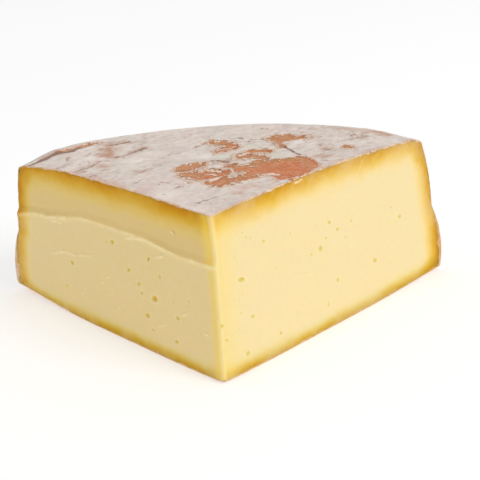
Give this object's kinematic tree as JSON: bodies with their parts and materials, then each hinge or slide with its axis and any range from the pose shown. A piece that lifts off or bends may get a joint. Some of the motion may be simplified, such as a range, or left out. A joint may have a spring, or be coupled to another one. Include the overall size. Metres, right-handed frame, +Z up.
{
  "type": "quarter wheel of raclette cheese",
  "caption": "Quarter of a round raclette cheese with a bloomed rind, a sagging heel and cut faces with small eyes.",
  "frame": {"origin": "centre of the bounding box, on the surface that the cheese rests on", "axes": "+X along the chord from one rim corner to the other, +Y from the corner where the cuts meet towards the rim, +Z up"},
  "size_m": [0.222, 0.1578, 0.0781],
  "materials": {
    "paste": "satin, slightly oily pale yellow cut cheese, deeper gold beside the rind",
    "rind": "matt, dusty pinkish grey bloom over an orange-brown washed rind"
  },
  "bodies": {
    "root": {"cheese": "paste"}
  },
  "joints": []
}
